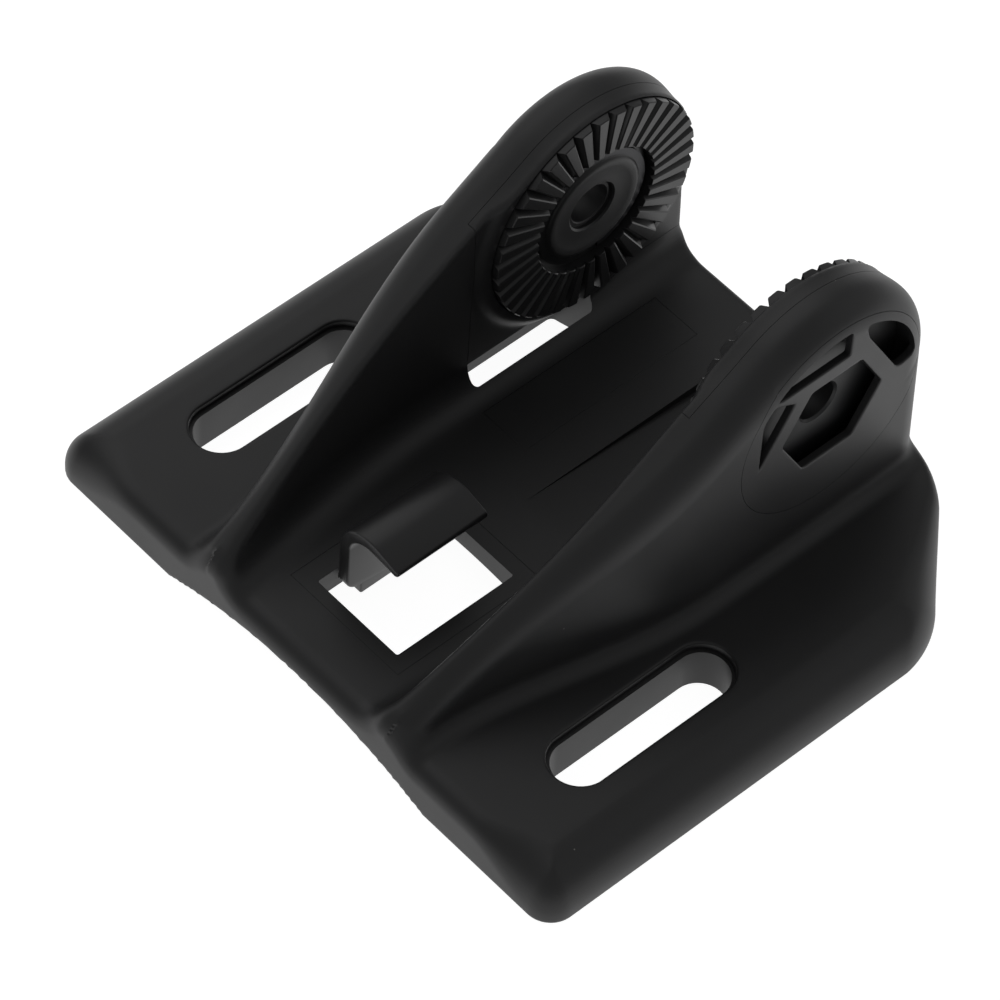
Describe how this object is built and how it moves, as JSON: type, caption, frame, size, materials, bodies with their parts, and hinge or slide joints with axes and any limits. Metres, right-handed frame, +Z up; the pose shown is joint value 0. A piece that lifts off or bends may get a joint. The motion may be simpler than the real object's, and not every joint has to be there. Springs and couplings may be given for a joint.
{
  "type": "tilt bracket base",
  "caption": "Black moulded base of a tilt bracket: slotted wing plate, two ears with sprung ratchet rings, windowed side caps, cable window and hook.",
  "frame": {"origin": "under the middle of the plate, on the plane the wings rest on", "axes": "+X across the ears towards the right ear, +Y from the front edge towards the back, +Z up from the resting plane"},
  "size_m": [0.088, 0.0774, 0.0446],
  "materials": {
    "body_plastic": "fine satin moulded black",
    "insert_plastic": "smoother satin moulded black",
    "cap_plastic": "fine satin moulded black",
    "ratchet_nylon": "semi-gloss black glass filled nylon",
    "hub_nylon": "semi-gloss black nylon, slightly dished",
    "black_steel": "black phosphated steel",
    "spring_steel": "rolled spring strip"
  },
  "bodies": {
    "base": {"base_body": "body_plastic", "left_ear_liner": "body_plastic", "right_ear_liner": "body_plastic", "left_ratchet_spring": "spring_steel", "right_ratchet_spring": "spring_steel", "left_hub": "hub_nylon", "right_hub": "hub_nylon", "left_snap_ring": "black_steel", "right_snap_ring": "black_steel", "left_side_cap": "cap_plastic", "right_side_cap": "cap_plastic", "window_insert": "insert_plastic", "cable_hook": "insert_plastic", "floor_pad": "insert_plastic"},
    "left_ring": {"left_ratchet_ring": "ratchet_nylon"},
    "right_ring": {"right_ratchet_ring": "ratchet_nylon"}
  },
  "joints": [
    {"name": "right_ratchet_slide", "type": "slide", "parent": "base", "child": "right_ring", "axis": [1, 0, 0], "range_m": [0, 0.0012], "stiffness_N_per_m": 8000, "springref_m": -0.0006, "deforming": ["right_ratchet_spring"]},
    {"name": "left_ratchet_slide", "type": "slide", "parent": "base", "child": "left_ring", "axis": [-1, 0, 0], "range_m": [0, 0.0012], "stiffness_N_per_m": 8000, "springref_m": -0.0006, "deforming": ["left_ratchet_spring"]}
  ]
}
